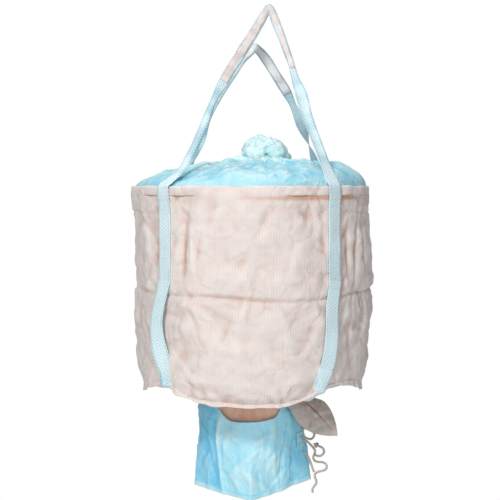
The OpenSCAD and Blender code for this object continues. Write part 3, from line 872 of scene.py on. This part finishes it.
webbing_loop(
    "rear", BELTS[3], BELTS[2],
    [(-375, 402, 28, 0.05), (-318, 382, 100, 0.3, 66, 5, 5), (-256, 300, 236, 0.6, 56, 6, 8),
     (-218, 240, 332, 0.9, 36, 13), (-166, 160, 433, 1, 45, 11), (-90, 104, 545, 1, 47, 10), (-38, 70, 615, 1, 46, 10)],
    [key((0.006, REAR_CROWN[1], 0.65), (0.5, -0.05, -0.8), 38, 13),
     key((REAR_CROWN[0] - 0.001, REAR_CROWN[1], 0.664), (0, -0.05, -1), 32, 14),
     key((0.034, REAR_CROWN[1], 0.65), (-0.5, -0.05, -0.8), 38, 13)],
    [(72, 82, 610, 1, 46, 10), (120, 116, 540, 1, 46, 10), (181, 166, 450, 1, 44, 11), (198, 184, 418, 0.9, 34, 14),
     (249, 250, 308, 0.65, 56, 6, -6), (303, 320, 187, 0.35, 62, 4.5, -3), (345, 378, 85, 0.12, 69)],
    0.34, 0.29, 0.92)


def belly_belt(side, seed, rows):
    """A belt down the body and under its base: x, y, z (mm), its across direction, then width, thickness and curl."""
    line = spline([key(np.divide((x, y, z), MM), across, *sizes) for x, y, z, across, *sizes in rows], 190)
    for point in line:
        a, r = math.atan2(point[0], -point[1]), math.hypot(point[0], point[1])
        beside = smooth(point[2], edge_z(a) - 0.02, edge_z(a) + 0.012)
        point[:2] *= 1 + beside * max(0.0, (outside(a, point[2]) + 0.003) / r - 1)
    relief = 0.72 + 0.18 * waves(line[:, :3], 0.1, seed)
    made = strap("belt_" + side, line, line[:, 6:].T, WEBBING, relief, 0.0012, seed)
    belongs(made, "bag", "webbing", "belly_belt_" + side)


def turned(a):
    """Across a belt at that azimuth, running down."""
    return (-math.cos(math.radians(a)), -math.sin(math.radians(a)), 0)


def rear_belt(a):
    out = around(math.radians(a), 1.0, 0.0)
    return [(*(out * r + [0, 0, z]), turned(a)) for r, z in (
        (558, -405), (560, -450), (572, -550), (574, -660), (562, -770), (535, -860), (490, -918), (400, -950),
        (300, -961), (240, -964))]


belly_belt("front_left", 71, [
    (-378.5, -409.5, -405, turned(-42.5)), (-384, -412, -440, turned(-42.5)), (-402, -413, -518, turned(-40)),
    (-413, -414, -593, turned(-36)), (-408, -420, -654, turned(-28)), (-394, -425, -721, turned(-10)),
    (-374, -420, -792, turned(12), 62, 5, 6), (-350, -408, -852, turned(20), 58, 6, 8),
    (-322, -372, -903, (-0.85, 0.15, 0.5), 62), (-265, -290, -942, (-0.8, 0.45, 0.2), 68),
    (-170, -182, -962, (-0.73, 0.68, 0)),
])
belly_belt("front_right", 72, [
    (363.5, -423.5, -405, turned(40.5)), (362, -430, -440, turned(40)), (353, -441, -511, turned(36)),
    (352, -446, -618, turned(34)), (346, -451, -704, turned(32)), (328, -455, -783, turned(26)),
    (300, -450, -838, turned(18), 64, 5, 5), (272, -425, -890, (-0.96, -0.1, 0.3), 60, 6, 6),
    (238, -372, -932, (-0.85, -0.35, 0.35), 64), (182, -262, -960, (-0.8, -0.58, 0.1)),
    (150, -185, -964, (-0.78, -0.62, 0)),
])
belly_belt("rear_left", 73, rear_belt(-135))
belly_belt("rear_right", 74, rear_belt(135))


# ---- the collar, the spout and what hangs on it
SPOUT_COLS, SPOUT_ROWS = 300, 104
spin_a = circle(SPOUT_COLS, -pi)
collar_top = -HEIGHT - 0.012
collar_rows, collar_h = [], []
for f in linspace(0, 1, 30):
    z = collar_top + f * (SPOUT_TOP - 0.014 + HEIGHT + 0.012)
    p = around(spin_a, COLLAR_R, z)
    h = 0.009 * crumple(p * [1, 1, 0.5], 0.14, 81, 6) + 0.002 * crumple(p * [1, 1, 0.6], 0.04, 82, 5)
    h = h * (0.25 + 0.75 * math.sin(pi * min(1, f * 1.1)))
    collar_rows.append(around(spin_a, COLLAR_R - 0.002 + h, z + 0.5 * h))
    collar_h.append(h)
collar = ring_sheet("collar_cloth", collar_rows, COLLAR, None, "woven_body", "spout_collar", CLOTH,
                    relief_of(stack(collar_h), 0.007, 3, 4))
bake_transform(collar)


def spout_shape(a, f):
    """Radius and height of the spout at an azimuth and a fraction of its length; its mouth has four sides."""
    deg = degrees(a)
    corners = [-180, -84, 0, 82, 180]
    radii = [0.262, 0.272, 0.268, 0.292, 0.262]
    bottom = 0
    for start, end, r0, r1 in zip(corners, corners[1:], radii, radii[1:]):
        side = r0 * r1 * math.sin(math.radians(end - start)) / (
            r0 * sin(radians(deg - start)) + r1 * sin(radians(end - deg)))
        bottom = np.where((deg >= start) & (deg <= end), side, bottom)
    bottom = 0.85 * bottom + 0.15 * SPOUT_R
    low = interp(deg, corners, [-0.004, -0.004, -0.008, 0.026, -0.004])
    rise = 0.046 * (smooth(-deg, 22, 44) + smooth(deg, 24, 40)) - 0.01 * exp(-(((deg + 2) / 22) ** 4))
    square = smooth(f, 0.15, 1)
    r = (SPOUT_R - 0.002) * (1 - square) + bottom * square - 0.014 * (1 - smooth(f, 0, 0.09)) * rise / 0.046
    return r, (SPOUT_TOP + 0.003 * sin(3 * a) + rise) * (1 - f) + (SPOUT_BOTTOM + low) * f


SPOUT_FOLDS = [
    (-38, 0, 88, 340, 10, 22), (-31, 40, 80, 140, 10, -10), (-52, 30, 96, 170, 12, -12), (18, 50, 86, 150, 10, -12),
    (28, 20, 96, 180, 9, 10), (38, 0, 84, 190, 11, -13), (52, -20, 92, 180, 10, 11), (-12, -20, 38, 160, 10, -11),
    (4, -90, -32, 150, 10, -10), (-66, -40, 50, 120, 9, -10), (-22, -120, -48, 100, 9, 9), (10, 100, 20, 120, 9, -8),
    (-58, 100, -28, 120, 9, -8), (30, -120, 40, 110, 9, -10), (120, 0, 88, 200, 12, -12), (-130, 0, 92, 200, 12, 12),
    (170, 0, 85, 200, 12, -12),
]


def spout_folds(a, z, f):
    """The spout's folds and wrinkles, outwards."""
    p = around(a, SPOUT_R, z)
    s = a * SPOUT_R
    h = 0.006 * crumple(p, 0.24, 91, 6, (1, 1, 0.6)) + 0.0022 * crumple(p, 0.09, 92, 6, (1.3, 1.3, 0.6))
    h = h + 0.001 * crumple(p, 0.035, 93) + 0.002 * waves(p, 0.1, 94)
    middle = (SPOUT_TOP + SPOUT_BOTTOM) / 2
    h = add_folds(h, s, z, SPOUT_FOLDS, SPOUT_R * pi / 180, 0.1, 1.0, 0.7, middle, ridges=(-38, 38))
    r = np.random.default_rng(96)
    for _ in range(110):
        at = (r.uniform(-pi, pi) * SPOUT_R, r.uniform(SPOUT_BOTTOM, SPOUT_TOP + 0.03))
        h = h + fold(s, z, at, r.normal(88, 26), r.uniform(0.03, 0.12), r.uniform(0.004, 0.008),
                     -r.uniform(0.0012, 0.004), r.uniform(-0.3, 0.3), True)
    return h * (0.35 + 0.65 * smooth(f, 0.0, 0.12))


fall = linspace(0, 1, SPOUT_ROWS)[:, None]
spout_a = np.broadcast_to(spin_a, (SPOUT_ROWS, SPOUT_COLS))
spout_r, spout_z = spout_shape(spout_a, fall)
spout_h = spout_folds(spout_a, spout_z, fall)
# Painted shade: the spout's left and right panels darker, its front a little lighter.
painted_side_shade = 0.08 - 0.36 * smooth(-degrees(spout_a), 36, 41) - 0.22 * smooth(degrees(spout_a), 24, 60)
spout = ring_sheet("spout_cloth", around(spout_a, spout_r + spout_h, spout_z), SPOUT, None, "blue_fabric",
                   "discharge_spout", CLOTH, clip(relief_of(spout_h, 0.013, 4, 4) + painted_side_shade, 0, 1))
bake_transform(spout)

# The hem turned up at its mouth
mouth_r, mouth_z = spout_shape(spin_a, 1.0)
hem_rows = []
for out, up in array([(-2.5, 20), (-3, 0), (0, -3), (3, -1), (3.4, 10), (3, 20), (1.2, 22.5)]) / MM:
    f = np.full(SPOUT_COLS, clip(1 - up / 0.36, 0, 1))
    hem_rows.append(around(spin_a, mouth_r + spout_folds(spin_a, mouth_z + up, f) + out, mouth_z + up))
# Painted light and shade: the hem's fold at the bottom is light and its upper edge dark.
ring_sheet("spout_mouth_hem", hem_rows, SPOUT, "spout", "blue_fabric", "spout_hem", 0,
           [0.3, 0.4, 0.9, 0.9, 0.6, 0.4, 0.05])

# The tab that holds the ties
tab_z, tab_a = linspace(TAB_Z - 0.035, TAB_Z + 0.035, 30), radians(linspace(63, 77, 24))
tab_z, tab_a = np.meshgrid(tab_z, tab_a, indexing="ij")
tab_f = (SPOUT_TOP - tab_z) / (SPOUT_TOP - SPOUT_BOTTOM)
tab_r = spout_shape(tab_a, tab_f)[0] + spout_folds(tab_a, tab_z, tab_f)
tab = grid("tie_tab_patch", around(tab_a, tab_r + 0.0035, tab_z), SPOUT, linspace(0, 0.06, 24)[None],
           linspace(0, 0.07, 30), 0.5 + 0.2 * waves(around(tab_a, tab_r, tab_z), 0.02, 95), closed=False)
thicken(tab, 0.002, 0.0)
belongs(tab, "spout", "tie_cord", "tie_tab")

# The closing flap, a domed leaf with a crease down its length
FLAP_L, FLAP_HALF = 0.275, 0.083
flap_root = array([COLLAR_R * 0.83, -COLLAR_R * 0.64, -HEIGHT - 0.028])
flap_way, root_way, tip_way = (unit(array(way)) for way in ((208.0, -64, -174), (90.0, 114, 16), (0.66, 0.22, 0.72)))
ff, fs = np.meshgrid(linspace(0, 1, 60), linspace(-1, 1, 44), indexing="ij")
half = FLAP_HALF * (0.8 + 0.9 * ff - 1.1 * ff**2) * np.maximum(0.004, 1 - ff**4.5) ** 0.85
turned_to = smooth(ff, 0, 1 / 1.5)[..., None]
sides = unit(root_way * (1 - turned_to) + tip_way * turned_to)
ups = unit(cross(np.broadcast_to(flap_way, sides.shape), sides))
flat = flap_root + (ff * FLAP_L)[..., None] * flap_way + (fs * half)[..., None] * sides
crease = -0.014 * exp(-np.abs(fs - 0.15) / 0.08) * sin(pi * clip(ff * 1.1, 0, 1))
flap_h = crease + 0.004 * crumple(flat, 0.07, 97) + 0.0012 * crumple(flat, 0.025, 98, 5)
lift = 0.03 * (1 - fs**2) * sin(pi * np.minimum(1, ff * 1.05)) + flap_h
# Painted shade: the flap is darker towards its root under the collar.
flap_relief = clip(relief_of(flap_h, 0.006, 3, 3, closed=False) * smooth(ff, 0.0, 0.2), 0, 1)
flap = grid("flap_leaf", flat + lift[..., None] * ups, FLAP, fs * 0.07, linspace(0, FLAP_L, 60), flap_relief, False)
thicken(flap, 0.0015, 0.0)
belongs(flap, "flap", "woven_body", "closing_flap")


# ---- stitching
def stitches(name, runs, long=0.007, gap=0.004, radius=0.0009, proud=0.0006):
    """Rows of thread laid on a surface; each run is its points and their normals."""
    verts, faces = [], []
    ring = [(math.cos(k * pi / 3), math.sin(k * pi / 3)) for k in range(6)]
    for line, normal in runs:
        line, normal = np.asarray(line, float), np.asarray(normal, float)
        at = run_of(line)
        start = 0.0
        while start + long < at[-1]:
            ends = [array([interp(start + d, at, line[:, k]) for k in range(3)]) for d in (0, long / 2, long)]
            up = unit(array([interp(start + long / 2, at, normal[:, k]) for k in range(3)]))
            side = unit(cross(ends[2] - ends[0], up))
            base = len(verts)
            for centre, size, lift in zip(ends, (0.5, 1.0, 0.5), (0, radius * 0.6, 0)):
                for c, n in ring:
                    verts.append(centre + up * (proud + lift + n * radius * size) + side * c * radius * size)
            for r in (base, base + 6):
                for k in range(6):
                    m = (k + 1) % 6
                    faces.append((r + k, r + m, r + 6 + m, r + 6 + k))
            faces.append(tuple(base + k for k in range(5, -1, -1)))
            faces.append(tuple(base + 12 + k for k in range(6)))
            start += long + gap
    belongs(mesh_object(name, verts, faces, np.full(len(verts), 0.8), THREAD), "bag", "webbing")


tail_runs = []
for belt in BELTS:
    outward = around(belt, 1.0, 0.0)
    tangent = array([math.cos(belt), math.sin(belt), 0])
    places = [[(side, z) for z in linspace(-0.415, -0.03, 40)] for side in (-0.03, 0.03)]
    places += [[(t, z) for t in linspace(-0.03, 0.03, 9)] for z in (-0.032, -0.08, -0.398, -0.412)]
    places.append([(0.016 if k % 2 else -0.016, z) for k, z in enumerate(linspace(-0.4, -0.085, 16))])
    for row in places:
        line = [outward * (outside(belt, z) + 0.0019) + tangent * t + [0, 0, z] for t, z in row]
        tail_runs.append((line, [outward] * len(row)))
stitches("tail_stitching", tail_runs)
rim_line = around(azimuth, rim_r + 0.0036 * gate, -0.031 + 0 * azimuth)
rim_run = [np.append(points, points[:1], 0) for points in (rim_line, around(azimuth, 1.0, 0.0))]
stitches("rim_stitching", [rim_run], 0.006, 0.005, 0.0007)

FLOOR, FLOOR_Z = 3, -2.6
floor = grid("floor", array([[[x, y, FLOOR_Z] for x in (-FLOOR, FLOOR)] for y in (-FLOOR, FLOOR)], float),
             floor_material(), closed=False)
